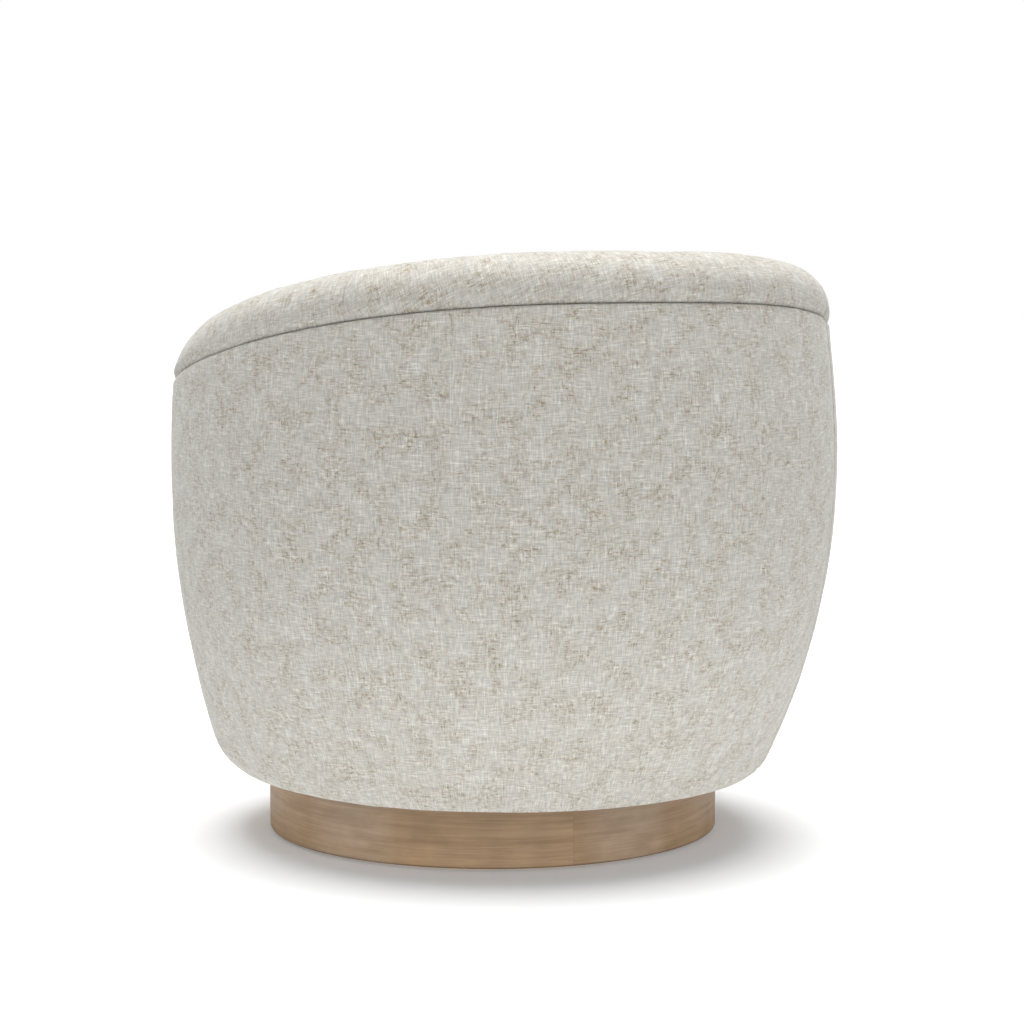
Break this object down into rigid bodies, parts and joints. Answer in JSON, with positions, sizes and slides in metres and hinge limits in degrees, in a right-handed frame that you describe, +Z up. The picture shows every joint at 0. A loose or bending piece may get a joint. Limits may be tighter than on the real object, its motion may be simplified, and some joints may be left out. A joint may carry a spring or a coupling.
{
  "type": "swivel barrel chair",
  "caption": "Round upholstered barrel chair with a rolled rim that drops towards the arms, turning on a ball-bearing swivel over a low round wooden plinth.",
  "frame": {"origin": "on the floor, under the middle of the shell's round plan, which is also the middle of the chair's box at rest", "axes": "+Z up, the sitter faces -Y, +X is the sitter's left; the swivel axis stands 32 mm in front of the origin"},
  "size_m": [0.7996, 0.813, 0.703],
  "materials": {
    "upholstery": "slubby plain-weave oatmeal linen",
    "deck_cloth": "plain deck cloth over wadding",
    "veneer": "weathered light-brown veneer, satin, fine level grain",
    "frame_wood": "raw birch plywood",
    "swivel_steel": "zinc-plated pressed steel",
    "fastener": "zinc-plated steel",
    "ball": "polished steel",
    "cage": "moulded nylon",
    "glide": "dark nylon",
    "webbing": "elastic webbing",
    "dust_cloth": "black non-woven dust cloth"
  },
  "bodies": {
    "plinth": {"plinth_band": "veneer", "plinth_top_board": "frame_wood", "plinth_bottom_ring": "frame_wood", "plinth_blocks": "frame_wood", "glides": "glide", "swivel_lower_plate": "swivel_steel", "swivel_lower_bolts": "fastener", "swivel_pin": "fastener", "bearing_cage": "cage", "bearing_balls": "ball"},
    "seat": {"swivel_upper_plate": "swivel_steel", "swivel_upper_bolts": "fastener", "base_ring": "frame_wood", "cross_rail_left": "frame_wood", "cross_rail_right": "frame_wood", "seat_ring": "frame_wood", "rib_back": "frame_wood", "rib_back_left": "frame_wood", "rib_back_right": "frame_wood", "rib_side_left": "frame_wood", "rib_side_right": "frame_wood", "rib_arm_left": "frame_wood", "rib_arm_right": "frame_wood", "rib_arm_front_left": "frame_wood", "rib_arm_front_right": "frame_wood", "rib_front": "frame_wood", "rib_front_left": "frame_wood", "rib_front_right": "frame_wood", "top_rail": "frame_wood", "webbing_lengthwise": "webbing", "webbing_crosswise": "webbing", "deck_pad": "deck_cloth", "dust_cover": "dust_cloth", "outside_back": "upholstery", "outside_arm_left": "upholstery", "outside_arm_right": "upholstery", "front_border": "upholstery", "inside_back": "upholstery", "inside_arm_left": "upholstery", "inside_arm_right": "upholstery", "arm_front_left": "upholstery", "arm_front_right": "upholstery", "cap_back": "upholstery", "cap_arm_left": "upholstery", "cap_arm_right": "upholstery", "seat_cushion": "upholstery"}
  },
  "joints": [
    {"name": "swivel", "type": "hinge", "parent": "plinth", "child": "seat", "pos_m": [0, -0.032, 0.069], "axis": [0, 0, 1], "continuous": true}
  ]
}
